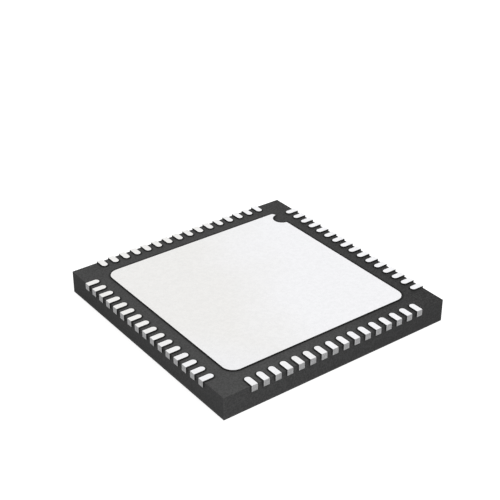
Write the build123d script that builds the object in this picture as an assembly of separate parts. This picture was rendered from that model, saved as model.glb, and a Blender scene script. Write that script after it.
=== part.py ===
from build123d import *
import math
import os

# A 64-lead analog-to-digital converter chip in a flat package without legs, 8 mm square.
# It lies on its marking face, with the solder side up. Millimetres, +Z up.
# The origin is the centre of the marking face, so the chip stands on z = 0.
# Pin 1 is at the +X +Y corner. Seen from above the solder side, the pins run clockwise from it.

# Moulded body
BODY_SIDE = 7.97
BODY_THICKNESS = 0.725
DIMPLE_RADIUS = 0.30
DIMPLE_DEPTH = 0.06
DIMPLE_INSET = 0.75  # from both walls of the pin 1 corner to the dimple's centre

# Lead frame: leads and die paddle come from one copper sheet, thinned in places from the solder side
FRAME_THICKNESS = 0.20
ETCH_DEPTH = 0.10
STANDOFF = 0.035  # solder faces above the compound

# Leads
LEADS_PER_SIDE = 16
LEADS_PER_GROUP = 4
LEAD_PITCH = 0.40
LEAD_WIDTH = 0.205
LEAD_LENGTH = 0.41  # solder face, from the cut end to the round inner end
LEAD_PROUD = 0.045  # cut end beyond the body's wall
LEAD_END_SIDES = 16  # flats of the full circle that rounds a lead's inner end
LIP_LENGTH = 0.12  # thinned lip beyond the round end, gripped by the compound
LIP_WING = 0.03  # lip beyond each flank of the lead
LIP_SETBACK = 0.12  # lip's outer end behind the body's wall

# Die paddle, with its solder face bare
PADDLE_GAP = 0.15  # compound between the paddle's thinned ledge and the lips of the leads
LEDGE_WIDTH = 0.12
PAD_CORNER_RADIUS = 0.36
KEY_CORNER_RADIUS = 0.12  # at pin 1, beside the notch
NOTCH_RADIUS = 0.30
NOTCH_DROP = 0.44  # from the pad's +Y edge to the notch's centre
NOTCH_OUTSET = 0.03  # from the pad's +X edge outwards to the notch's centre
TIE_BAR_WIDTH = 0.20
TIE_BAR_SETBACK = 0.35  # from the body's corner to the bar's end, along the diagonal

# Die and the film that holds it
DIE_SIDE = 4.80
DIE_THICKNESS = 0.20
ATTACH_THICKNESS = 0.025
ATTACH_MARGIN = 0.05

# Bond wires, drawn as square strands
WIRE_DIAMETER = 0.025
LOOP_RISE = 0.13  # how far a wire leaves the die's face before it turns
FOOT_LENGTH = 0.06  # stitch that lies on the lead
FOOT_INSET = 0.03  # from the lip's inner edge to the start of the stitch
BOND_PAD_INSET = 0.09  # from the die's edge to its row of bond pads
BOND_ROW_MARGIN = 0.30  # from the die's corner to the first bond pad of a row
GROUND_WIRE_SPREAD = 0.14  # between the two ground wires of a corner
GROUND_WIRE_REACH = 0.45  # from the die's corner to the far end of a ground wire's stitch

# Levels
SOLDER_Z = BODY_THICKNESS + STANDOFF
ETCHED_Z = SOLDER_Z - ETCH_DEPTH
FRAME_Z = SOLDER_Z - FRAME_THICKNESS
DIE_BACK_Z = FRAME_Z - ATTACH_THICKNESS
DIE_FACE_Z = DIE_BACK_Z - DIE_THICKNESS

# Places along a lead, from the centre of the chip outwards
WALL = BODY_SIDE / 2
LEAD_TIP = WALL + LEAD_PROUD
LEAD_HEEL = LEAD_TIP - LEAD_LENGTH
LIP_HEEL = LEAD_HEEL - LIP_LENGTH

# The paddle fills what the leads leave
LEDGE_SIDE = 2 * (LIP_HEEL - PADDLE_GAP)
PAD_SIDE = LEDGE_SIDE - 2 * LEDGE_WIDTH
BOND_PITCH = (DIE_SIDE - 2 * BOND_ROW_MARGIN) / (LEADS_PER_SIDE - 1)


def slab(outline, low, high):
    """A flat outline raised to the layer between two levels."""
    return extrude(Pos(0, 0, low) * outline, high - low)


def lead_solid():
    """One lead on the +X side, with its centre line on the X axis."""
    radius = LEAD_WIDTH / 2
    round_centre = LEAD_HEEL + radius
    straight = Pos((round_centre + LEAD_TIP) / 2, 0) * Rectangle(LEAD_TIP - round_centre, LEAD_WIDTH)
    round_end = Pos(round_centre, 0) * RegularPolygon(radius, LEAD_END_SIDES)
    bar = slab(straight + round_end, FRAME_Z, SOLDER_Z)

    lip_tail = WALL - LIP_SETBACK
    lip_outline = Rectangle(lip_tail - LIP_HEEL, LEAD_WIDTH + 2 * LIP_WING)
    lip = slab(Pos((LIP_HEEL + lip_tail) / 2, 0) * lip_outline, FRAME_Z, ETCHED_Z)
    return bar + lip


def pad_outline():
    """Solder face of the paddle: round corners, and a round notch that marks pin 1."""
    square = Rectangle(PAD_SIDE, PAD_SIDE)
    corners = square.vertices()
    key = corners.sort_by(lambda corner: corner.X + corner.Y)[-1]
    plain = [corner for corner in corners if corner != key]
    rounded = fillet(plain, PAD_CORNER_RADIUS)
    key = rounded.vertices().sort_by(lambda corner: corner.X + corner.Y)[-1]
    rounded = fillet(key, KEY_CORNER_RADIUS)
    notch_centre = Pos(PAD_SIDE / 2 + NOTCH_OUTSET, PAD_SIDE / 2 - NOTCH_DROP)
    return rounded - notch_centre * Circle(NOTCH_RADIUS)


def die_paddle():
    """Paddle with its thinned ledge and the four tie bars that held it in the lead frame."""
    ledge = RectangleRounded(LEDGE_SIDE, LEDGE_SIDE, PAD_CORNER_RADIUS + LEDGE_WIDTH)
    reach = WALL * math.sqrt(2) - TIE_BAR_SETBACK
    for turn in (45, -45):
        ledge += Rot(0, 0, turn) * Rectangle(2 * reach, TIE_BAR_WIDTH)
    return slab(ledge, FRAME_Z, ETCHED_Z) + slab(pad_outline(), FRAME_Z, SOLDER_Z)


def bond_wire(start, end):
    """A wire from the die's face to the inner face of the frame: up, across, and a flat stitch."""
    start = Vector(*start)
    end = Vector(*end)
    along = (end - start).normalized()
    across = Vector(-along.Y, along.X)
    loop_z = DIE_FACE_Z - LOOP_RISE
    foot_z = FRAME_Z - WIRE_DIAMETER / 2
    foot = end + along * FOOT_LENGTH
    path = Polyline(
        (start.X, start.Y, DIE_FACE_Z),
        (start.X, start.Y, loop_z),
        (end.X, end.Y, foot_z),
        (foot.X, foot.Y, foot_z),
    )
    root = Plane(origin=(start.X, start.Y, DIE_FACE_Z), x_dir=across, z_dir=(0, 0, -1))
    strand = Rectangle(WIRE_DIAMETER, WIRE_DIAMETER)
    return sweep(root * strand, path=path, transition=Transition.RIGHT)


def lead_wire(row):
    """The wire of the lead at this place in the +X row, from its bond pad to its lip."""
    start = (DIE_SIDE / 2 - BOND_PAD_INSET, row * BOND_PITCH)
    end = (LIP_HEEL + FOOT_INSET, row * LEAD_PITCH)
    return bond_wire(start, end)


def ground_wires():
    """Two wires at each corner of the die, down to the bare rim of the paddle."""
    pair = []
    corner = DIE_SIDE / math.sqrt(2)
    start = corner - 2 * BOND_PAD_INSET
    end = corner + GROUND_WIRE_REACH - FOOT_LENGTH
    for offset in (-GROUND_WIRE_SPREAD / 2, GROUND_WIRE_SPREAD / 2):
        pair.append(bond_wire((start, offset), (end, offset)))
    return [Rot(0, 0, turn) * wire for turn in (45, 135, 225, 315) for wire in pair]


def around(make_piece):
    """One piece for each pin, in pin order: down the +X side, then clockwise round the chip."""
    row = [(LEADS_PER_SIDE - 1) / 2 - place for place in range(LEADS_PER_SIDE)]
    side = [make_piece(place) for place in row]
    return [Rot(0, 0, -90 * turn) * piece for turn in range(4) for piece in side]


def export_groups(name, pieces):
    """Write the pieces a few pins at a time, each group under its first and last pin number."""
    for first in range(0, len(pieces), LEADS_PER_GROUP):
        group = pieces[first : first + LEADS_PER_GROUP]
        node = f"{name}_{first + 1:02d}_{first + len(group):02d}"
        export_step(Compound(children=group), f"parts/{node}.step")


def mold_body(contents):
    """Compound cast around the frame, die and wires, with the pin 1 dimple in its marking face."""
    block = slab(Rectangle(BODY_SIDE, BODY_SIDE), 0, BODY_THICKNESS)
    dimple_at = WALL - DIMPLE_INSET
    block -= slab(Pos(dimple_at, dimple_at) * Circle(DIMPLE_RADIUS), 0, DIMPLE_DEPTH)
    return block - contents


os.makedirs("parts", exist_ok=True)

lead = lead_solid()
leads = around(lambda row: Pos(0, row * LEAD_PITCH, 0) * lead)
wires = around(lead_wire)
grounds = ground_wires()
paddle = die_paddle()
attach_side = DIE_SIDE + 2 * ATTACH_MARGIN
attach = slab(Rectangle(attach_side, attach_side), DIE_BACK_Z, FRAME_Z)
die = slab(Rectangle(DIE_SIDE, DIE_SIDE), DIE_FACE_Z, DIE_BACK_Z)
body = mold_body([paddle, attach, die, *leads, *wires, *grounds])

export_step(body, "parts/mold_body.step")
export_step(paddle, "parts/die_paddle.step")
export_step(attach, "parts/die_attach.step")
export_step(die, "parts/silicon_die.step")
export_step(Compound(children=grounds), "parts/ground_wires.step")
export_groups("leads", leads)
export_groups("bond_wires", wires)
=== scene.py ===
# Looks of a 64-lead converter chip in a flat package without legs. It lies on its marking face,
# with the solder side up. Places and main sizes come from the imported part, in metres.

import math

import bmesh
import bpy
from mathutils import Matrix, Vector


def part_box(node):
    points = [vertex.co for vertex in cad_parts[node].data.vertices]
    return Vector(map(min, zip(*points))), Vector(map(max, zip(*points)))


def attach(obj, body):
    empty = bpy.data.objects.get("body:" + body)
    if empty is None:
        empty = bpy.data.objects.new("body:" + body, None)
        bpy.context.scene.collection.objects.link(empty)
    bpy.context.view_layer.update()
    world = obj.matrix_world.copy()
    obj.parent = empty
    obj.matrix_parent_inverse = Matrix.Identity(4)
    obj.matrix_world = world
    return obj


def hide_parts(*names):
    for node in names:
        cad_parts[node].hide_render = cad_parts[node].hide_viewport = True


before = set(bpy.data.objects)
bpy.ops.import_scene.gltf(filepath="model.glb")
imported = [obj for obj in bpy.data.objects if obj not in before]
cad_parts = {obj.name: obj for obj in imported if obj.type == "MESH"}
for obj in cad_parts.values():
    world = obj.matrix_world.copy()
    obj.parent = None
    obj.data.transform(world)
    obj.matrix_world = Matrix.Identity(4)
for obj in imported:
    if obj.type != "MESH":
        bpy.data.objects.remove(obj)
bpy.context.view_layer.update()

bl_info = {
    "name": "Flat Chip Looks",
    "version": (1, 0, 0),
    "blender": (4, 5, 0),
    "location": "3D View > Sidebar > Chip",
    "description": "Leads, exposed pad, mould compound and inner parts of a flat 64-lead chip",
    "category": "Object",
}

MM = 0.001  # one millimetre, in the scene's metres
QUARTER = math.pi / 2
TOUCH = 0.002  # in millimetres: a point this near a face lies on it
SHARP_EDGE = math.radians(35)  # an edge that turns more than this stays sharp
LEVEL = 0.999  # a normal's Z above this: the face is level
UPWARD = 0.8  # a normal's Z above this: the face is plated like the solder side
OUTWARD = 0.7  # a normal's outward part above this: the face is the cut end of a lead
WELD = 0.00001  # in millimetres: points this near each other become one
SAME_FACE = math.radians(0.5)  # faces that turn less than this from each other become one
SIDES = 4  # of the chip, each with its row of leads and wires

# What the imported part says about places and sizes
BODY_LOW, BODY_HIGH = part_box("mold_body")
PADDLE_LOW, PADDLE_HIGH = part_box("die_paddle")
DIE_LOW, DIE_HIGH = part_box("silicon_die")
FIRST_LOW, FIRST_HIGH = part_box("leads_01_04")
SECOND_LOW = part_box("leads_05_08")[0]
LEAD_NODES = sorted(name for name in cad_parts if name.startswith("leads_"))
WIRE_NODES = sorted(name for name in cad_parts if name.startswith("bond_wires_"))
WIRE_LOW, WIRE_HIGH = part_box("bond_wires_01_04")
LEADS_PER_GROUP = 4
LEADS_PER_SIDE = len(LEAD_NODES) * LEADS_PER_GROUP // SIDES
LEAD_PITCH = (FIRST_LOW.y - SECOND_LOW.y) / LEADS_PER_GROUP
LIP_WIDTH = FIRST_HIGH.y - FIRST_LOW.y - (LEADS_PER_GROUP - 1) * LEAD_PITCH
PAD_HALF = max(
    corner.co.x
    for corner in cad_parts["die_paddle"].data.vertices
    if corner.co.z > PADDLE_HIGH.z - TOUCH * MM
)


def length_property(name, text, default):
    """A length in metres, shown in the units of the scene."""
    return bpy.props.FloatProperty(
        name=name,
        description=text,
        default=default,
        min=0.0,
        precision=6,
        subtype="DISTANCE",
        unit="LENGTH",
    )


def share_property(name, text, default):
    """A number from 0 to 1."""
    return bpy.props.FloatProperty(
        name=name, description=text, default=default, min=0.0, max=1.0, subtype="FACTOR"
    )


def colour_property(name, text, default):
    """A linear colour."""
    return bpy.props.FloatVectorProperty(
        name=name, description=text, default=default, size=3, min=0.0, max=1.0, subtype="COLOR"
    )


class ChipSizes(bpy.types.PropertyGroup):
    """Sizes of the pieces that are modelled here."""

    lead_pitch: length_property("Lead pitch", "From one lead to the next", LEAD_PITCH)
    lead_length: length_property("Lead length", "Solder face of a lead", 0.41 * MM)
    lip_wing: length_property("Lip wing", "Buried lip beyond each flank of a lead", 0.03 * MM)
    lip_setback: length_property("Lip setback", "Buried lip behind the body's wall", 0.12 * MM)
    lip_thickness: length_property("Lip thickness", "What the etch leaves of the sheet", 0.10 * MM)
    edge_radius: length_property("Edge radius", "Round edge of the plating", 0.009 * MM)
    corner_radius: length_property("Corner radius", "Corners of a lead's cut end", 0.008 * MM)
    pad_corner: length_property("Pad corner", "Round corners of the exposed pad", 0.36 * MM)
    notch_radius: length_property("Notch radius", "Notch of the pad at pin 1", 0.30 * MM)
    notch_outset: length_property("Notch outset", "Notch's centre beyond the pad", 0.03 * MM)
    notch_drop: length_property("Notch drop", "From the pad's edge to the notch's centre", 0.44 * MM)
    dimple_radius: length_property("Dimple radius", "Pin 1 mark in the marking face", 0.30 * MM)
    dimple_inset: length_property("Dimple inset", "From the walls to the dimple's centre", 0.75 * MM)
    grain: length_property("Grain", "Grains of filler in the compound", 0.044 * MM)
    # Painted shadow line beside the metal: its width, and how far it is moved to +X and +Y
    painted_shadow_line: length_property("Painted shadow line", "Painted shadow line beside the metal", 0.11 * MM)
    shadow_line_shift: length_property("Shadow line shift", "The line lies this far to +X and +Y", 0.035 * MM)
    wire_diameter: length_property("Wire diameter", "Bond wires", 0.025 * MM)
    ball_radius: length_property("Ball radius", "Ball bond on the die", 0.03 * MM)
    stitch_length: length_property("Stitch length", "Wire pressed on a lead", 0.06 * MM)
    bend_radius: length_property("Bend radius", "Bends of a bond wire", 0.06 * MM)
    bond_pad_side: length_property("Bond pad side", "Square pads of the die", 0.08 * MM)
    bond_pad_inset: length_property("Bond pad inset", "From the die's edge to its pads", 0.09 * MM)
    bond_margin: length_property("Bond row margin", "From a die corner to the first pad", 0.3 * MM)
    ground_spread: length_property("Ground spread", "Between a corner's ground wires", 0.14 * MM)
    ground_reach: length_property("Ground reach", "From a die corner to a stitch's end", 0.45 * MM)
    leads_per_side: bpy.props.IntProperty(
        name="Leads per side", description="Along one wall", default=LEADS_PER_SIDE, min=1
    )
    seed: bpy.props.IntProperty(
        name="Seed", description="Seed of the small differences between leads", default=7
    )


class ChipColours(bpy.types.PropertyGroup):
    """Colours of the finishes."""

    compound: colour_property("Compound", "Black epoxy with its filler", (0.0535, 0.0535, 0.0535))
    sawn_wall: colour_property("Sawn wall", "Compound cut by the saw", (0.059, 0.059, 0.0595))
    # Colour of the painted shadow line beside the metal
    painted_shadow_line: colour_property("Painted shadow line", "Painted shadow beside the metal", (0.006, 0.006, 0.006))
    plating_warm: colour_property("Warm plating", "Tin with a warm cast", (0.890, 0.882, 0.867))
    plating_cool: colour_property("Cool plating", "Tin with a cool cast", (0.940, 0.941, 0.959))
    cut_metal: colour_property("Cut metal", "Lead ends smeared by the saw", (0.465, 0.465, 0.47))
    # Flanks of the leads and the pad: painted nearly black, as painted shade
    flank: colour_property("Flank", "Lead flanks, painted dark as shade", (0.03, 0.03, 0.03))
    silicon: colour_property("Silicon", "Bare silicon", (0.055, 0.058, 0.066))
    die_metal: colour_property("Die metal", "Metal layers on the die", (0.42, 0.40, 0.36))
    attach_film: colour_property("Attach film", "Epoxy with silver flakes", (0.50, 0.49, 0.46))
    gold: colour_property("Gold", "Bond wires", (0.92, 0.66, 0.26))


class ChipStage(bpy.types.PropertyGroup):
    """Floor, light and camera."""

    floor_size: length_property("Floor size", "Side of the square floor", 2.0)
    floor_gap: length_property("Floor gap", "From the marking face down to the floor", 0.002 * MM)
    floor_colour: colour_property("Floor colour", "Pale plain floor", (0.55, 0.55, 0.55))
    floor_lift: share_property("Floor lift", "White that the camera sees on the floor", 0.75)
    mirrored_lift: share_property("Mirrored lift", "White that metal mirrors from the floor", 0.45)
    contact_gap: length_property("Contact gap", "Floor this near a face is clear to it", 0.12 * MM)
    lamp_size: length_property("Lamp size", "Side of the soft square lamp", 290 * MM)
    lamp_distance: length_property("Lamp distance", "From the lamp to the chip", 200 * MM)
    lamp_power: bpy.props.FloatProperty(
        name="Lamp power", description="Power of the lamp", default=0.264, subtype="POWER"
    )
    lamp_direction: bpy.props.FloatVectorProperty(
        name="Lamp direction",
        description="From the chip towards the lamp",
        default=(0.3, -0.2, 1.0),
        subtype="DIRECTION",
    )
    sky: share_property("Sky", "Light from all round", 0.55)
    lens: bpy.props.FloatProperty(
        name="Lens", description="Focal length", default=83.42, subtype="DISTANCE_CAMERA"
    )
    camera_place: bpy.props.FloatVectorProperty(
        name="Camera place",
        description="Where the photograph was taken from",
        default=(-17.869 * MM, -23.726 * MM, 19.096 * MM),
        precision=6,
        subtype="TRANSLATION",
        unit="LENGTH",
    )
    camera_look: bpy.props.FloatVectorProperty(
        name="Camera look",
        description="Direction in which the camera looks",
        default=(0.51825, 0.69395, -0.49985),
        subtype="DIRECTION",
    )


class Value:
    """One output of a node. Arithmetic on it adds Math nodes to its tree."""

    def __init__(self, graph, socket):
        self.graph = graph
        self.socket = socket

    def output(self, name):
        """Another output of the same node."""
        return Value(self.graph, enabled(self.socket.node.outputs, name))

    def math(self, operation, first, second=None):
        values = {0: first} if second is None else {0: first, 1: second}
        return self.graph.add("ShaderNodeMath", values, operation=operation)

    def __add__(self, other):
        return self.math("ADD", self, other)

    def __radd__(self, other):
        return self.math("ADD", other, self)

    def __sub__(self, other):
        return self.math("SUBTRACT", self, other)

    def __rsub__(self, other):
        return self.math("SUBTRACT", other, self)

    def __mul__(self, other):
        return self.math("MULTIPLY", self, other)

    def __truediv__(self, other):
        return self.math("DIVIDE", self, other)

    def __pow__(self, other):
        return self.math("POWER", self, other)

    def __abs__(self):
        return self.math("ABSOLUTE", self)

    def __lt__(self, other):
        return self.math("LESS_THAN", self, other)

    def __gt__(self, other):
        return self.math("GREATER_THAN", self, other)

    def least(self, other):
        return self.math("MINIMUM", self, other)

    def most(self, other):
        return self.math("MAXIMUM", self, other)

    def wrapped(self, step):
        """The remainder of a division, never negative."""
        return self.math("FLOORED_MODULO", self, step)


def enabled(sockets, key):
    """The socket in use that has this name, or this place among those in use."""
    in_use = [socket for socket in sockets if socket.enabled]
    if isinstance(key, int):
        return in_use[key]
    return next(socket for socket in in_use if socket.name == key)


class Graph:
    """A node tree that is being built."""

    def __init__(self, tree):
        self.tree = tree
        tree.nodes.clear()

    def add(self, kind, values=None, **settings):
        """Adds a node with its settings, then its values and links. Gives its first output."""
        node = self.tree.nodes.new(kind)
        for name, setting in settings.items():
            setattr(node, name, setting)
        for key, value in (values or {}).items():
            for part in value if isinstance(value, list) else [value]:
                self.feed(enabled(node.inputs, key), part)
        outputs = [socket for socket in node.outputs if socket.enabled]
        return Value(self, outputs[0]) if outputs else None

    def feed(self, socket, value):
        """Links a value to a socket, or sets the socket to it."""
        if isinstance(value, Value):
            self.tree.links.new(value.socket, socket)
        elif socket.type == "RGBA":
            socket.default_value = (*value[:3], 1.0)
        else:
            socket.default_value = value

    def combine(self, x, y, z):
        return self.add("ShaderNodeCombineXYZ", {"X": x, "Y": y, "Z": z})

    def parts(self, vector):
        """The three coordinates of a vector."""
        x = self.add("ShaderNodeSeparateXYZ", {"Vector": vector})
        return x, x.output("Y"), x.output("Z")


class Surface(Graph):
    """The node tree of a new material, with the object's own coordinates in millimetres."""

    def __init__(self, name):
        self.material = bpy.data.materials.new(name)
        self.material.use_nodes = True
        super().__init__(self.material.node_tree)
        values = {"Vector": self.add("ShaderNodeTexCoord").output("Object"), "Scale": 1 / MM}
        self.place = self.add("ShaderNodeVectorMath", values, operation="SCALE")
        self.x, self.y, self.z = self.parts(self.place)

    def ramp(self, value, start, end, low=0.0, high=1.0):
        """A smooth change from low at start to high at end, and level beyond them."""
        if start > end:
            start, end, low, high = end, start, high, low
        values = {"Value": value, "From Min": start, "From Max": end, "To Min": low, "To Max": high}
        return self.add("ShaderNodeMapRange", values, interpolation_type="SMOOTHSTEP")

    def blend(self, share, first, second):
        """Mixes two colours: share 0 is the first, and share 1 the second."""
        values = {"Factor": share, "A": first, "B": second}
        return self.add("ShaderNodeMix", values, data_type="RGBA", clamp_factor=True)

    def tint(self, colour, shade):
        """A colour made lighter or darker by a number."""
        values = {"Factor": 1.0, "A": colour, "B": self.combine(shade, shade, shade)}
        return self.add("ShaderNodeMix", values, data_type="RGBA", blend_type="MULTIPLY")

    def noise(self, feature=1.0, place=None, detail=3.0, roughness=0.6):
        """Soft noise round 0.5, with features of that size in millimetres."""
        values = {"Scale": 1 / feature, "Detail": detail, "Roughness": roughness}
        return self.add("ShaderNodeTexNoise", {"Vector": place or self.place} | values)

    def spread(self, noise, low, high, reach=0.2):
        """Noise taken to values from low, where it is 0.5 - reach, to high at 0.5 + reach."""
        return self.ramp(noise, 0.5 - reach, 0.5 + reach, low, high)

    def bump(self, height, depth, strength):
        """A normal from a height of 0 to 1 that stands for a depth in metres."""
        values = {"Strength": strength, "Distance": depth, "Height": height}
        return self.add("ShaderNodeBump", values)

    def stretched(self, x, y, z):
        """The place, stretched by a factor along each axis."""
        values = {0: self.place, 1: (x, y, z)}
        return self.add("ShaderNodeVectorMath", values, operation="MULTIPLY")

    def attribute(self, name):
        """A number that the mesh holds, or 0 where it has none."""
        return self.add("ShaderNodeAttribute", attribute_name=name).output("Fac")

    def finish(self, **values):
        """Ends the material with a Principled shader and gives it back."""
        names = {name.replace("_", " ").title(): value for name, value in values.items()}
        names = {name.replace("Ior", "IOR"): value for name, value in names.items()}
        shader = self.add("ShaderNodeBsdfPrincipled", names)
        self.add("ShaderNodeOutputMaterial", {"Surface": shader})
        return self.material


def in_mm(length):
    return length / MM


def flat_length(x, y):
    """Length of a vector in the plane of the chip."""
    return (x * x + y * y) ** 0.5


def pad_distance(surface, sizes, shift=0.0):
    """Distance in millimetres to the pad's edge, or to that edge moved by a shift to +X and +Y."""
    x, y = surface.x - shift, surface.y - shift
    corner = in_mm(sizes.pad_corner)
    inner = in_mm(PAD_HALF) - corner
    pad = flat_length((abs(x) - inner).most(0.0), (abs(y) - inner).most(0.0)) - corner
    notch_x = in_mm(PAD_HALF + sizes.notch_outset)
    notch_y = in_mm(PAD_HALF - sizes.notch_drop)
    notch = in_mm(sizes.notch_radius) - flat_length(x - notch_x, y - notch_y)
    return pad.most(notch)


def lead_distance(surface, sizes, shift=0.0):
    """Distance in millimetres to the nearest lead's edge, or to that edge moved by a shift."""
    x, y = surface.x - shift, surface.y - shift
    outward = abs(x).most(abs(y))
    across = abs(x).least(abs(y))
    pitch = in_mm(sizes.lead_pitch)
    radius = in_mm(LIP_WIDTH / 2 - sizes.lip_wing)
    heel = in_mm(FIRST_HIGH.x - sizes.lead_length) + radius
    nearest = abs(across.wrapped(pitch) - pitch / 2)
    lead = flat_length((heel - outward).most(0.0), nearest) - radius
    beyond = across > pitch * sizes.leads_per_side / 2
    return lead + beyond


GRAIN_REACH = 0.17  # how far the compound's grain goes from 0.5 before it is at its ends


def compound_material(sizes, colours):
    """Filled black epoxy: grained where it was moulded, streaked where it was sawn."""
    surface = Surface("mould_compound")
    x, y, z = surface.x, surface.y, surface.z
    half, height = in_mm(BODY_HIGH.x), in_mm(BODY_HIGH.z)
    outward, inward = abs(x).most(abs(y)), abs(x).least(abs(y))
    wall = outward > half - TOUCH
    solder_side = (z > height - TOUCH) * (1 - wall)
    grain = surface.noise(in_mm(sizes.grain))

    # Moulded faces: painted light up to the middle and painted shade at the +X -Y corner, with a
    # painted dark rim at the far edges
    light_start, light_end, turned, drop = -0.7, 6.3, 0.32, 0.04
    brightest, dimmest, least_shade = 0.985, 0.30, 0.03
    # Painted light and shade: lighter towards -X, darker towards the +X -Y corner and a little
    # towards +Y
    light = surface.ramp(x - y * turned, light_start, light_end, brightest, dimmest) * (1 - y * drop)
    cloud_size = 1.1
    clouds = surface.noise(cloud_size, detail=2.0, roughness=0.5)
    light = light * surface.spread(clouds, 0.97, 1.03)
    # Painted shade: a dark rim along the far edges of the solder side
    rim_start, rim_end, rim_shade = half - 0.06, half - 0.01, 0.2
    light = light * surface.ramp(x.most(y), rim_start, rim_end, 1.0, rim_shade)
    speckle = surface.spread(grain, -0.30, 0.30, GRAIN_REACH)
    moulded = surface.tint(colours.compound, (light + speckle).most(least_shade))

    # Sawn walls: painted light, lightest at the -X -Y corner, painted shade on the walls that face X,
    # and a painted highlight beside each upright corner, with fine level streaks
    streaks_along, streaks_up = 1.4, 34.0
    saw_place = surface.combine((x + y) * streaks_along, z * streaks_up, 0.0)
    streaks = surface.noise(place=saw_place)
    facing_x = abs(x) > abs(y)
    light_wall, dark_wall, x_wall_painted_shade, corner_width, corner_painted_highlight = 1.20, 0.82, 0.15, 0.035, 1.25
    # Painted light and shade: lighter towards the -X -Y corner, and darker on the walls that face X
    painted_wall_light = surface.ramp(x + y, -half * 2, half * 0.3, light_wall, dark_wall)
    painted_wall_light = painted_wall_light * (1 - facing_x * x_wall_painted_shade)
    # Painted highlight beside each upright corner
    corner = surface.ramp(inward, half - corner_width, half, 1.0, corner_painted_highlight)
    wall_shade = painted_wall_light * corner * surface.spread(grain, 0.74, 1.26, GRAIN_REACH)
    sawn = surface.tint(colours.sawn_wall, wall_shade * surface.spread(streaks, 0.95, 1.05))
    colour = surface.blend(wall, moulded, sawn)

    # Painted shadow line beside the metal: widest at the pad's far edges, narrower at the others and
    # the leads
    shift, width = in_mm(sizes.shadow_line_shift), in_mm(sizes.painted_shadow_line)
    near_width, lead_width, lead_shift = width * 0.5, width * 0.65, shift * 0.3
    far_line = surface.ramp(pad_distance(surface, sizes, shift), 0.0, width, 1.0, 0.0)
    near_line = surface.ramp(pad_distance(surface, sizes), 0.0, near_width, 1.0, 0.0)
    beside_lead = lead_distance(surface, sizes, lead_shift)
    lead_line = surface.ramp(beside_lead, 0.0, lead_width, 1.0, 0.0)
    painted_shadow_line = far_line.most(near_line).most(lead_line) * solder_side
    colour = surface.blend(painted_shadow_line, colour, colours.painted_shadow_line)

    # The dimple of the marking face is smoother than the rest
    centre = half - in_mm(sizes.dimple_inset)
    from_dimple = flat_length(x - centre, y - centre)
    dimple = (from_dimple < in_mm(sizes.dimple_radius) + TOUCH) * (z < height / 2)
    wall_rougher, dimple_smoother, shadow_line_rougher = 0.16, 0.22, 0.25
    roughness = surface.spread(grain, 0.56, 0.70, 0.3) + painted_shadow_line * shadow_line_rougher
    roughness = roughness + wall * wall_rougher - dimple * dimple_smoother
    wall_flatter, dimple_flatter = 0.5, 0.85
    relief = grain * (1 - wall * wall_flatter) * (1 - dimple * dimple_flatter) + streaks * wall
    return surface.finish(
        base_color=colour,
        roughness=roughness,
        specular_ior_level=0.2,
        normal=surface.bump(relief, depth=0.004 * MM, strength=0.6),
    )


def plating_material(sizes, colours):
    """Matte tin: pale, softly mottled, with a fine crystal grain."""
    surface = Surface("matte_tin")
    x, y = surface.x, surface.y

    # Cool towards +X and warm towards -X, with a painted reflection that makes the near corner cool
    drift_size, drift_reach, turned, half_change = 2.2, 3.0, 0.45, 1.8
    drift = surface.noise(drift_size, detail=2.0, roughness=0.5) - 0.5
    cool = surface.ramp(x - y * turned + drift * drift_reach, -half_change, half_change)
    corner_end, corner_start, corner_painted_shade = -6.8, -3.2, 0.03
    # Painted reflection: a cool cast in the near corner
    corner_painted_reflection = surface.ramp(x + y, corner_end, corner_start, 1.0, 0.0)
    colour = surface.blend(cool.most(corner_painted_reflection), colours.plating_warm, colours.plating_cool)

    # Mottled, with a painted highlight along its edges, and not quite alike from lead to lead
    mottle_size, crystal_size = 0.12, 0.03
    mottle = surface.noise(mottle_size)
    crystal = surface.noise(crystal_size, detail=2.0)
    shade = surface.spread(mottle, 0.970, 1.015) * surface.spread(crystal, 0.970, 1.015)
    rim_width, rim_painted_highlight, tone_reach = 0.05, 0.03, 0.04
    # Painted highlight: a little brighter along the edges of the metal
    edge = pad_distance(surface, sizes).least(lead_distance(surface, sizes))
    shade = shade + surface.ramp(edge, -rim_width, 0.0, 0.0, rim_painted_highlight)
    # Painted shade: a little darker in the near corner
    shade = shade * (1 - corner_painted_reflection * corner_painted_shade)
    shade = shade * (1 + surface.attribute("lead_tone") * tone_reach)
    return surface.finish(
        base_color=surface.tint(colour, shade),
        roughness=surface.spread(mottle, 0.30, 0.36),
        metallic=0.55,
        normal=surface.bump(crystal, depth=0.0012 * MM, strength=0.5),
    )


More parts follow.
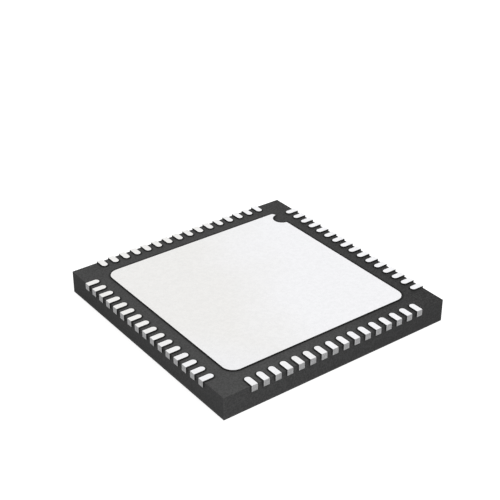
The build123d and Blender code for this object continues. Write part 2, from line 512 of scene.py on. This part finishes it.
def cut_metal_material(sizes, colours):
    """Lead ends: copper cut by the saw, with tin smeared over it in streaks, and bright edges: burrs
    together with a painted highlight.
    """
    surface = Surface("cut_metal")
    pitch = in_mm(sizes.lead_pitch)
    across = abs(abs(surface.x).least(abs(surface.y)).wrapped(pitch) - pitch / 2)
    from_flank = in_mm(LIP_WIDTH / 2 - sizes.lip_wing) - across
    from_edge = from_flank.least(in_mm(FIRST_HIGH.z) - surface.z)
    # Brighter near the flanks and the solder face: partly burrs from the saw, partly a painted
    # highlight
    burr_width, burr_highlight_level = 0.03, 1.22
    burr_and_highlight = surface.ramp(from_edge, 0.0, burr_width, burr_highlight_level, 1.0)
    streaks = surface.noise(place=surface.stretched(4.0, 4.0, 26.0))
    grain = surface.noise(0.04)
    tone_top, tone_reach, grain_relief = 1.09, 0.12, 0.4
    shade = surface.spread(streaks, 0.92, 1.06) * surface.spread(grain, 0.80, 1.16)
    shade = shade * burr_and_highlight * (tone_top - surface.attribute("lead_tone") * tone_reach)
    return surface.finish(
        base_color=surface.tint(colours.cut_metal, shade),
        roughness=surface.spread(streaks, 0.46, 0.60),
        metallic=0.35,
        normal=surface.bump(streaks + grain * grain_relief, depth=0.002 * MM, strength=0.5),
    )


def flank_material(colours):
    """Sides of the metal: painted dark, as painted shade."""
    surface = Surface("resin_filmed_metal")
    # Noise that varies the painted shade of the flanks
    film = surface.noise(0.05)
    return surface.finish(
        base_color=surface.tint(colours.flank, surface.spread(film, 0.75, 1.20)),
        roughness=surface.spread(film, 0.45, 0.62),
        metallic=0.2,
        normal=surface.bump(film, depth=0.002 * MM, strength=0.5),
    )


def bond_pitch(sizes):
    """From one bond pad of the die to the next, in metres."""
    return 2 * (DIE_HIGH.y - sizes.bond_margin) / (sizes.leads_per_side - 1)


def silicon_material(sizes, colours):
    """Die: bond pads in a row along each edge, blocks of circuit inside, bare silicon behind."""
    surface = Surface("patterned_silicon")
    x, y, z = surface.x, surface.y, surface.z
    half = in_mm(DIE_HIGH.x)
    outward, across = abs(x).most(abs(y)), abs(x).least(abs(y))
    face = z < in_mm(DIE_LOW.z) + TOUCH

    # Blocks of circuit, crossed by fine tracks
    block_share, tracks_along, tracks_across = 0.6, 30.0, 3.0
    values = {
        "Vector": surface.place,
        "Color1": (0.30, 0.30, 0.30),
        "Color2": (0.85, 0.85, 0.85),
        "Mortar": (0.0, 0.0, 0.0),
        "Scale": 1.7,
        "Mortar Size": 0.03,
    }
    blocks = surface.add("ShaderNodeTexBrick", values, offset=0.5, squash=0.6, squash_frequency=3)
    blocks = surface.blend(block_share, colours.die_metal, blocks)
    along_tracks = surface.stretched(tracks_along, tracks_across, 1.0)
    tracks = surface.noise(place=along_tracks, roughness=0.7)
    circuit = surface.tint(blocks, surface.spread(tracks, 0.4, 1.0))
    circuit_edge = half - 0.25
    colour = surface.blend((outward < circuit_edge) * face, colours.silicon, circuit)

    # Square bond pads
    pitch, pad_half = in_mm(bond_pitch(sizes)), in_mm(sizes.bond_pad_side / 2)
    along_row = abs(across.wrapped(pitch) - pitch / 2)
    across_row = abs(outward - (half - in_mm(sizes.bond_pad_inset)))
    pads = (along_row < pad_half) * (across_row < pad_half) * (across < circuit_edge)
    colour = surface.blend(pads * face, colour, colours.die_metal)

    grind_place = surface.stretched(2.0, 40.0, 2.0)
    grind = surface.noise(place=grind_place, detail=2.0, roughness=0.5)
    return surface.finish(
        base_color=colour,
        roughness=surface.spread(grind, 0.16, 0.30),
        metallic=0.5,
        normal=surface.bump(grind, depth=0.0005 * MM, strength=0.4),
    )


def attach_material(colours):
    """Die attach film: epoxy full of silver flakes."""
    surface = Surface("silver_epoxy")
    flakes_per_mm, flake_middle, flake_edge = 45.0, 0.1, 0.7
    values = {"Vector": surface.place, "Scale": flakes_per_mm}
    flakes = surface.add("ShaderNodeTexVoronoi", values)
    shade = surface.ramp(flakes, flake_middle, flake_edge, 1.1, 0.6)
    return surface.finish(
        base_color=surface.tint(colours.attach_film, shade),
        roughness=surface.ramp(flakes, flake_middle, flake_edge, 0.35, 0.6),
        metallic=0.4,
        normal=surface.bump(flakes, depth=0.002 * MM, strength=0.5),
    )


def gold_material(colours):
    """Bond wires: drawn gold with faint die lines."""
    surface = Surface("drawn_gold")
    lines = surface.noise(0.008, detail=2.0, roughness=0.5)
    return surface.finish(
        base_color=surface.tint(colours.gold, surface.spread(lines, 0.92, 1.04)),
        roughness=surface.spread(lines, 0.18, 0.28),
        metallic=1.0,
        normal=surface.bump(lines, depth=0.0005 * MM, strength=0.4),
    )


def use_material(node_name, material):
    """Gives a CAD node one material."""
    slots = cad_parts[node_name].material_slots
    if not slots:
        raise RuntimeError(f"{node_name} has no material slot")
    for slot in slots:
        slot.material = material


def material_named(name, make, *facts):
    """A finish that several pieces share, made once."""
    return bpy.data.materials.get(name) or make(*facts)


def plating(context):
    chip = context.scene.chip_sizes, context.scene.chip_colours
    return material_named("matte_tin", plating_material, *chip)


def flank_metal(context):
    return material_named("resin_filmed_metal", flank_material, context.scene.chip_colours)


FINISHES = ("Plating", "Cut Metal", "Flank Metal")
LEAD_INPUTS = {
    "NodeSocketFloat": (
        "Pitch", "Length", "Width", "Reach", "Solder Level", "Thickness", "Edge Radius",
        "Corner Radius", "Lip Heel", "Lip Tail", "Lip Width", "Lip Thickness",
    ),
    "NodeSocketInt": ("Leads per Side", "Seed"),
    "NodeSocketMaterial": FINISHES,
}
EDGE_STEPS = 3  # facets across a round edge
CORNER_POINTS = 2  # points on a round corner of the cut end
ROUND_END_POINTS = 7  # points on each half of the round inner end
ROUND_END_SHARE = 0.4999  # of the width: a little under half, so that the two halves don't meet


def rounded(graph, curve, points, radius):
    """A curve whose corners are rounded with so many points, as far as its sides allow."""
    values = {"Curve": curve, "Count": points, "Radius": radius, "Limit Radius": True}
    return graph.add("GeometryNodeFilletCurve", values, mode="POLY")


def placed(graph, points, place):
    """Points set to a place."""
    return graph.add("GeometryNodeSetPosition", {"Geometry": points, "Position": place})


def lead_outline(graph, inputs):
    """Flat outline of a lead: round inner end, and a cut end with small round corners."""
    values = {"Width": inputs("Length"), "Height": inputs("Width")}
    outline = graph.add("GeometryNodeCurvePrimitiveQuadrilateral", values, mode="RECTANGLE")
    x, _, _ = graph.parts(graph.add("GeometryNodeInputPosition"))
    inner = x < 0.0
    radius = inner * inputs("Width") * ROUND_END_SHARE + (1 - inner) * inputs("Corner Radius")
    points = CORNER_POINTS + inner * (ROUND_END_POINTS - CORNER_POINTS)
    outline = rounded(graph, outline, points, radius)
    return graph.add("GeometryNodeFillCurve", {"Curve": outline}, mode="NGONS")


def lead_bar(graph, inputs):
    """The whole thickness of a lead, with a round edge along its solder face."""
    base = lead_outline(graph, inputs)
    edge = inputs("Edge Radius")
    values = {"Mesh": base, "Offset": (0, 0, 1), "Individual": False}
    values["Offset Scale"] = inputs("Thickness") - edge
    bar = graph.add("GeometryNodeExtrudeMesh", values, mode="FACES")
    top = bar.output("Top")
    x, y, _ = graph.parts(graph.add("GeometryNodeInputPosition"))
    for step in range(EDGE_STEPS):
        before = QUARTER * step / EDGE_STEPS
        after = QUARTER * (step + 1) / EDGE_STEPS
        shrink = 2 * math.cos(after) - 2 * math.cos(before)
        across, along = (
            edge * shrink / (inputs(size) - edge * (2 - 2 * math.cos(before)))
            for size in ("Width", "Length")
        )
        rise = edge * (math.sin(after) - math.sin(before))
        values = {"Mesh": bar, "Selection": top, "Offset Scale": 0.0, "Individual": False}
        grown = graph.add("GeometryNodeExtrudeMesh", values, mode="FACES")
        top = grown.output("Top")
        moved = graph.combine(x * along, y * across, rise)
        values = {"Geometry": grown, "Selection": top, "Offset": moved}
        bar = graph.add("GeometryNodeSetPosition", values)
    under = graph.add("GeometryNodeFlipFaces", {"Mesh": base})
    closed = graph.add("GeometryNodeJoinGeometry", {"Geometry": [under, bar]})
    return graph.add("GeometryNodeMergeByDistance", {"Geometry": closed, "Distance": WELD * MM})


def new_tree(name, inputs):
    """An empty Geometry Nodes tree with named inputs. Gives its graph and its inputs by name."""
    tree = bpy.data.node_groups.new(name, "GeometryNodeTree")
    for kind, sockets in inputs.items():
        for socket in sockets:
            tree.interface.new_socket(socket, in_out="INPUT", socket_type=kind)
    tree.interface.new_socket("Geometry", in_out="OUTPUT", socket_type="NodeSocketGeometry")
    graph = Graph(tree)
    return graph, graph.add("NodeGroupInput").output


def lead_tree():
    """Geometry Nodes: one lead, its finishes, and a copy of it for each pin."""
    graph, inputs = new_tree("lead_rows", LEAD_INPUTS)
    bar = lead_bar(graph, inputs)
    middle = inputs("Reach") - inputs("Length") * 0.5
    foot = inputs("Solder Level") - inputs("Thickness")
    values = {"Geometry": bar, "Translation": graph.combine(middle, 0.0, foot)}
    bar = graph.add("GeometryNodeTransform", values)

    size = graph.combine(
        inputs("Lip Tail") - inputs("Lip Heel"), inputs("Lip Width"), inputs("Lip Thickness")
    )
    lip = graph.add("GeometryNodeMeshCube", {"Size": size})
    centre = (inputs("Lip Tail") + inputs("Lip Heel")) * 0.5
    level = foot + inputs("Lip Thickness") * 0.5
    values = {"Geometry": lip, "Translation": graph.combine(centre, 0.0, level)}
    lip = graph.add("GeometryNodeTransform", values)
    values = {"Mesh": [bar, lip]}
    lead = graph.add("GeometryNodeMeshBoolean", values, operation="UNION", solver="EXACT")

    # Each face holds the number that its finish has in FINISHES: 0, 1 or 2
    facing_x, _, facing_z = graph.parts(graph.add("GeometryNodeInputNormal"))
    solder = facing_z > UPWARD
    cut = (facing_x > OUTWARD) * (1 - solder)
    finish = cut + (1 - solder) * (1 - cut) * 2
    values = {"Geometry": lead, "Name": "finish", "Value": finish}
    lead = graph.add("GeometryNodeStoreNamedAttribute", values, data_type="INT", domain="FACE")
    sharp = graph.add("GeometryNodeInputMeshEdgeAngle") > SHARP_EDGE
    values = {"Geometry": lead, "Selection": sharp, "Shade Smooth": False}
    lead = graph.add("GeometryNodeSetShadeSmooth", values, domain="EDGE")
    values = {"Geometry": lead, "Selection": facing_z > LEVEL, "Shade Smooth": False}
    lead = graph.add("GeometryNodeSetShadeSmooth", values, domain="FACE")

    per_side = inputs("Leads per Side")
    index = graph.add("GeometryNodeInputIndex")
    side = index.math("FLOOR", index / per_side)
    row = (per_side - 1) * 0.5 - index.wrapped(per_side)
    turn = graph.combine(0.0, 0.0, side * -QUARTER)
    along = graph.combine(0.0, row * inputs("Pitch"), 0.0)
    values = {"Vector": along, "Rotation": turn}
    place = graph.add("ShaderNodeVectorRotate", values, rotation_type="EULER_XYZ")
    points = graph.add("GeometryNodeMeshLine", {"Count": per_side * SIDES})
    values = {"Points": placed(graph, points, place), "Instance": lead, "Rotation": turn}
    leads = graph.add("GeometryNodeInstanceOnPoints", values)
    values = {"Min": 0.5, "Max": 1.0, "Seed": inputs("Seed")}
    tone = graph.add("FunctionNodeRandomValue", values, data_type="FLOAT")
    values = {"Geometry": leads, "Name": "lead_tone", "Value": tone}
    leads = graph.add("GeometryNodeStoreNamedAttribute", values, data_type="FLOAT", domain="INSTANCE")

    leads = graph.add("GeometryNodeRealizeInstances", {"Geometry": leads})
    kept = graph.add("GeometryNodeInputNamedAttribute", {"Name": "finish"}, data_type="INT")
    for number, name in enumerate(FINISHES):
        values = {"A": kept, "B": number}
        chosen = graph.add("FunctionNodeCompare", values, data_type="INT", operation="EQUAL")
        values = {"Geometry": leads, "Selection": chosen, "Material": inputs(name)}
        leads = graph.add("GeometryNodeSetMaterial", values)
    graph.add("NodeGroupOutput", {"Geometry": leads})
    return graph.tree


WIRE_INPUTS = {
    "NodeSocketFloat": (
        "Bond Pitch", "Stitch Pitch", "Start", "Stitch Start", "Stitch End", "Die Face",
        "Loop Level", "Stitch Level", "Wire Radius", "Bend Radius", "Ball Radius", "First Turn",
    ),
    "NodeSocketInt": ("Wires per Side",),
    "NodeSocketMaterial": ("Gold",),
}
WIRE_CORNERS = 4
BEND_POINTS = 6  # points on each bend of a wire
STRAND_SIDES = 10
BALL_SIDES, BALL_RINGS = 16, 8
BALL_FLATNESS = 0.5  # a ball bond's height, as a share of its width


def wire_tree():
    """Geometry Nodes: a row of round wires with ball bonds, repeated on the four sides."""
    graph, inputs = new_tree("wire_rows", WIRE_INPUTS)
    start, stitch = inputs("Start"), inputs("Stitch Start")
    per_side = inputs("Wires per Side")
    index = graph.add("GeometryNodeInputIndex")
    row = (per_side - 1) * 0.5 - index

    # One wire has four corners: its ball, a turn, the start of its stitch and its end
    turned, on_lead, at_end = index > 0.5, index > 1.5, index > 2.5
    x = start + on_lead * (stitch - start) + at_end * (inputs("Stitch End") - stitch)
    z = inputs("Die Face") + turned * (inputs("Loop Level") - inputs("Die Face"))
    z = z + on_lead * (inputs("Stitch Level") - inputs("Loop Level"))
    corners = graph.add("GeometryNodeMeshLine", {"Count": WIRE_CORNERS})
    corners = placed(graph, corners, graph.combine(x, 0.0, z))
    path = graph.add("GeometryNodeMeshToCurve", {"Mesh": corners})
    path = rounded(graph, path, BEND_POINTS, inputs("Bend Radius"))

    # A side: copies one metre apart, drawn together to the bond pitch at the die's end and to
    # the pitch of the stitches at the other
    points = graph.add("GeometryNodeMeshLine", {"Count": per_side})
    points_apart = placed(graph, points, graph.combine(0.0, row, 0.0))
    values = {"Points": points_apart, "Instance": path}
    paths = graph.add("GeometryNodeInstanceOnPoints", values)
    paths = graph.add("GeometryNodeRealizeInstances", {"Geometry": paths})
    x, y, z = graph.parts(graph.add("GeometryNodeInputPosition"))
    fan = (inputs("Stitch Pitch") - inputs("Bond Pitch")) * (x - start) / (stitch - start)
    paths = placed(graph, paths, graph.combine(x, y * (inputs("Bond Pitch") + fan), z))
    values = {"Resolution": STRAND_SIDES, "Radius": inputs("Wire Radius")}
    strand = graph.add("GeometryNodeCurvePrimitiveCircle", values, mode="RADIUS")
    values = {"Curve": paths, "Profile Curve": strand, "Fill Caps": True}
    wires = graph.add("GeometryNodeCurveToMesh", values)

    values = {"Segments": BALL_SIDES, "Rings": BALL_RINGS, "Radius": inputs("Ball Radius")}
    ball = graph.add("GeometryNodeMeshUVSphere", values)
    values = {"Geometry": ball, "Scale": (1.0, 1.0, BALL_FLATNESS)}
    ball = graph.add("GeometryNodeTransform", values)
    place = graph.combine(start, row * inputs("Bond Pitch"), inputs("Die Face"))
    values = {"Points": placed(graph, points, place), "Instance": ball}
    balls = graph.add("GeometryNodeInstanceOnPoints", values)
    side = graph.add("GeometryNodeJoinGeometry", {"Geometry": [wires, balls]})

    turn = graph.combine(0.0, 0.0, inputs("First Turn") - index * QUARTER)
    values = {"Count": SIDES, "Offset": (0.0, 0.0, 0.0)}
    centre = graph.add("GeometryNodeMeshLine", values)
    values = {"Points": centre, "Instance": side, "Rotation": turn}
    sides = graph.add("GeometryNodeInstanceOnPoints", values)
    sides = graph.add("GeometryNodeRealizeInstances", {"Geometry": sides})
    values = {"Geometry": sides, "Shade Smooth": True}
    sides = graph.add("GeometryNodeSetShadeSmooth", values, domain="FACE")
    values = {"Geometry": sides, "Material": inputs("Gold")}
    sides = graph.add("GeometryNodeSetMaterial", values)
    graph.add("NodeGroupOutput", {"Geometry": sides})
    return graph.tree


def new_object(context, name, data):
    """An object in the scene, at the origin."""
    made = bpy.data.objects.new(name, data)
    context.scene.collection.objects.link(made)
    return made


def plain_mesh_from(context, name, tree, inputs):
    """Runs a Geometry Nodes tree on an empty object and keeps the result as a plain mesh."""
    piece = new_object(context, name, bpy.data.meshes.new(name))
    modifier = piece.modifiers.new(tree.name, "NODES")
    modifier.node_group = tree
    for socket in tree.interface.items_tree:
        if socket.in_out == "INPUT":
            modifier[socket.identifier] = inputs[socket.name]
    depsgraph = context.evaluated_depsgraph_get()
    mesh = bpy.data.meshes.new_from_object(piece.evaluated_get(depsgraph))
    piece.modifiers.clear()
    piece.data = mesh
    if not mesh.polygons:
        raise RuntimeError(f"{name} came out empty")
    return piece


class CHIP_OT_compound(bpy.types.Operator):
    """Give the moulded body its black compound, sawn walls and painted shadow line beside the metal
    """

    bl_idname = "chip.compound"
    bl_label = "Mould Compound"

    def execute(self, context):
        scene = context.scene
        use_material("mold_body", compound_material(scene.chip_sizes, scene.chip_colours))
        return {"FINISHED"}


class CHIP_OT_leads(bpy.types.Operator):
    """Build all leads with round inner ends, sawn outer ends and soft plated edges"""

    bl_idname = "chip.leads"
    bl_label = "Leads"

    def execute(self, context):
        sizes = context.scene.chip_sizes
        cut_metal = cut_metal_material(sizes, context.scene.chip_colours)
        inputs = {
            "Pitch": sizes.lead_pitch,
            "Leads per Side": sizes.leads_per_side,
            "Length": sizes.lead_length,
            "Width": LIP_WIDTH - 2 * sizes.lip_wing,
            "Reach": FIRST_HIGH.x,
            "Solder Level": FIRST_HIGH.z,
            "Thickness": FIRST_HIGH.z - FIRST_LOW.z,
            "Edge Radius": sizes.edge_radius,
            "Corner Radius": sizes.corner_radius,
            "Lip Heel": FIRST_LOW.x,
            "Lip Tail": BODY_HIGH.x - sizes.lip_setback,
            "Lip Width": LIP_WIDTH,
            "Lip Thickness": sizes.lip_thickness,
            "Seed": sizes.seed,
            "Plating": plating(context),
            "Cut Metal": cut_metal,
            "Flank Metal": flank_metal(context),
        }
        leads = plain_mesh_from(context, "leads", lead_tree(), inputs)
        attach(leads, "root")
        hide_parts(*LEAD_NODES)
        return {"FINISHED"}


class CHIP_OT_paddle(bpy.types.Operator):
    """Build the die paddle with a soft edge round its bare solder face"""

    bl_idname = "chip.paddle"
    bl_label = "Exposed Pad"

    def execute(self, context):
        sizes = context.scene.chip_sizes
        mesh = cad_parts["die_paddle"].data.copy()
        mesh.name = "exposed_pad"
        mesh.materials.clear()
        mesh.materials.append(plating(context))
        mesh.materials.append(flank_metal(context))
        form = bmesh.new()
        form.from_mesh(mesh)
        bmesh.ops.remove_doubles(form, verts=form.verts, dist=WELD * MM)
        bmesh.ops.dissolve_limit(form, angle_limit=SAME_FACE, verts=form.verts, edges=form.edges)
        upward = [each for each in form.faces if each.normal.z > UPWARD]
        face = max(upward, key=lambda each: each.calc_center_median().z)
        bmesh.ops.bevel(
            form,
            geom=list(face.edges),
            offset=sizes.edge_radius,
            offset_type="OFFSET",
            segments=EDGE_STEPS,
            profile=0.5,
            affect="EDGES",
            clamp_overlap=True,
        )
        form.normal_update()
        for each in form.faces:
            each.smooth = each.normal.z < LEVEL
            each.material_index = 0 if each.normal.z > UPWARD else 1
        for each in form.edges:
            each.smooth = each.calc_face_angle(0.0) < SHARP_EDGE
        form.to_mesh(mesh)
        form.free()
        imported_normals = mesh.attributes.get("custom_normal")
        if imported_normals:
            mesh.attributes.remove(imported_normals)
        pad = new_object(context, "exposed_pad", mesh)
        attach(pad, "root")
        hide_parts("die_paddle")
        return {"FINISHED"}


class CHIP_OT_die(bpy.types.Operator):
    """Give the die its circuit pattern and the film under it its silver flakes"""

    bl_idname = "chip.die"
    bl_label = "Die and Film"

    def execute(self, context):
        sizes, colours = context.scene.chip_sizes, context.scene.chip_colours
        use_material("silicon_die", silicon_material(sizes, colours))
        use_material("die_attach", attach_material(colours))
        return {"FINISHED"}


class CHIP_OT_wires(bpy.types.Operator):
    """Build the round bond wires and ground wires with their ball bonds"""

    bl_idname = "chip.wires"
    bl_label = "Bond Wires"

    def execute(self, context):
        sizes = context.scene.chip_sizes
        radius = sizes.wire_diameter / 2
        inputs = {
            "Wires per Side": sizes.leads_per_side,
            "Bond Pitch": bond_pitch(sizes),
            "Stitch Pitch": sizes.lead_pitch,
            "Start": DIE_HIGH.x - sizes.bond_pad_inset,
            "Stitch Start": WIRE_HIGH.x - sizes.stitch_length,
            "Stitch End": WIRE_HIGH.x,
            "Die Face": DIE_LOW.z,
            "Loop Level": WIRE_LOW.z + radius,
            "Stitch Level": PADDLE_LOW.z - radius,
            "Wire Radius": radius,
            "Bend Radius": sizes.bend_radius,
            "Ball Radius": sizes.ball_radius,
            "First Turn": 0.0,
            "Gold": gold_material(context.scene.chip_colours),
        }
        corner = DIE_HIGH.x * math.sqrt(2)
        ground_end = corner + sizes.ground_reach
        ground_inputs = inputs | {
            "Wires per Side": 2,
            "Bond Pitch": sizes.ground_spread,
            "Stitch Pitch": sizes.ground_spread,
            "Start": corner - 2 * sizes.bond_pad_inset,
            "Stitch Start": ground_end - sizes.stitch_length,
            "Stitch End": ground_end,
            "First Turn": QUARTER / 2,
        }
        tree = wire_tree()
        for name, nodes, values in (
            ("bond_wires", WIRE_NODES, inputs),
            ("corner_wires", ["ground_wires"], ground_inputs),
        ):
            wires = plain_mesh_from(context, name, tree, values)
            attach(wires, "root")
            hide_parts(*nodes)
        return {"FINISHED"}


def floor_material(stage):
    """Pale floor that keeps the shadow. Seen from above it is lifted to white, from below clear.
    It is also clear to the marking face that lies on it, so that face is lit when seen from below.
    """
    surface = Surface("pale_floor")
    path = surface.add("ShaderNodeLightPath")
    mirrored = path.output("Is Glossy Ray").most(path.output("Is Transmission Ray"))
    lift = path * stage.floor_lift + mirrored * stage.mirrored_lift
    diffuse = surface.add("ShaderNodeBsdfDiffuse", {"Color": stage.floor_colour})
    values = {"Color": (1.0, 1.0, 1.0), "Strength": lift}
    lift = surface.add("ShaderNodeEmission", values)
    top = surface.add("ShaderNodeAddShader", {0: diffuse, 1: lift})
    clear = surface.add("ShaderNodeBsdfTransparent")
    below = surface.add("ShaderNodeNewGeometry").output("Backfacing")
    touching = path.output("Ray Length") < stage.contact_gap
    shader = surface.add("ShaderNodeMixShader", {0: below.most(touching), 1: top, 2: clear})
    surface.add("ShaderNodeOutputMaterial", {"Surface": shader})
    return surface.material


def make_floor(context, stage):
    """A square floor just under the marking face."""
    mesh = bpy.data.meshes.new("floor")
    form = bmesh.new()
    bmesh.ops.create_grid(form, x_segments=8, y_segments=8, size=stage.floor_size / 2)
    bmesh.ops.translate(form, verts=form.verts, vec=(0, 0, BODY_LOW.z - stage.floor_gap))
    form.to_mesh(mesh)
    form.free()
    mesh.materials.append(floor_material(stage))
    new_object(context, "floor", mesh)


def make_sky(context, stage):
    """White behind the chip and in its reflections, and a dimmer light from all round."""
    world = bpy.data.worlds.new("studio")
    world.use_nodes = True
    context.scene.world = world
    graph = Graph(world.node_tree)
    path = graph.add("ShaderNodeLightPath")
    seen = path.most(path.output("Is Glossy Ray")).most(path.output("Is Transmission Ray"))
    white = (1.0, 1.0, 1.0)
    dim = graph.add("ShaderNodeBackground", {"Color": white, "Strength": stage.sky})
    full = graph.add("ShaderNodeBackground", {"Color": white, "Strength": 1.0})
    shader = graph.add("ShaderNodeMixShader", {0: seen, 1: dim, 2: full})
    graph.add("ShaderNodeOutputWorld", {"Surface": shader})


def make_lamp(context, stage):
    """One large soft lamp above the chip. Metal mirrors the white studio in its place."""
    lamp = bpy.data.lights.new("soft_lamp", "AREA")
    lamp.shape = "SQUARE"
    lamp.size = stage.lamp_size
    lamp.energy = stage.lamp_power
    holder = new_object(context, "soft_lamp", lamp)
    direction = Vector(stage.lamp_direction).normalized()
    holder.location = direction * stage.lamp_distance
    holder.rotation_euler = direction.to_track_quat("Z", "Y").to_euler()
    holder.visible_glossy = False


SENSOR_WIDTH = 36.0  # in millimetres, which the focal length goes with
FAR_CLIP = 10.0  # in metres


def make_camera(context, stage):
    """The camera of the photograph."""
    camera = bpy.data.cameras.new("camera")
    camera.lens = stage.lens
    camera.sensor_width = SENSOR_WIDTH
    camera.clip_start = MM
    camera.clip_end = FAR_CLIP
    holder = new_object(context, "camera", camera)
    holder.location = stage.camera_place
    holder.rotation_euler = Vector(stage.camera_look).to_track_quat("-Z", "Y").to_euler()
    context.scene.camera = holder


class CHIP_OT_stage(bpy.types.Operator):
    """Set the floor, the light and the camera"""

    bl_idname = "chip.stage"
    bl_label = "Stage"

    def execute(self, context):
        stage = context.scene.chip_stage
        context.scene.view_settings.view_transform = "Standard"
        make_floor(context, stage)
        make_sky(context, stage)
        make_lamp(context, stage)
        make_camera(context, stage)
        return {"FINISHED"}


PROPERTY_GROUPS = {
    "chip_sizes": ChipSizes,
    "chip_colours": ChipColours,
    "chip_stage": ChipStage,
}
OPERATORS = (
    CHIP_OT_compound,
    CHIP_OT_leads,
    CHIP_OT_paddle,
    CHIP_OT_die,
    CHIP_OT_wires,
    CHIP_OT_stage,
)


class CHIP_PT_panel(bpy.types.Panel):
    """Pieces and sizes of the chip"""

    bl_idname = "CHIP_PT_panel"
    bl_label = "Flat Chip"
    bl_space_type = "VIEW_3D"
    bl_region_type = "UI"
    bl_category = "Chip"

    def draw(self, context):
        for operator in OPERATORS:
            self.layout.operator(operator.bl_idname)
        for group in PROPERTY_GROUPS:
            owner = getattr(context.scene, group)
            box = self.layout.box()
            for name in owner.bl_rna.properties.keys():
                if name not in ("rna_type", "name"):
                    box.prop(owner, name)


def register():
    for each in (*PROPERTY_GROUPS.values(), *OPERATORS, CHIP_PT_panel):
        bpy.utils.register_class(each)
    for name, group in PROPERTY_GROUPS.items():
        setattr(bpy.types.Scene, name, bpy.props.PointerProperty(type=group))


def unregister():
    for name in PROPERTY_GROUPS:
        delattr(bpy.types.Scene, name)
    for each in (CHIP_PT_panel, *reversed(OPERATORS), *reversed(PROPERTY_GROUPS.values())):
        bpy.utils.unregister_class(each)


def main():
    register()
    bpy.ops.chip.compound()
    bpy.ops.chip.leads()
    bpy.ops.chip.paddle()
    bpy.ops.chip.die()
    bpy.ops.chip.wires()
    bpy.ops.chip.stage()


if __name__ == "__main__":
    main()
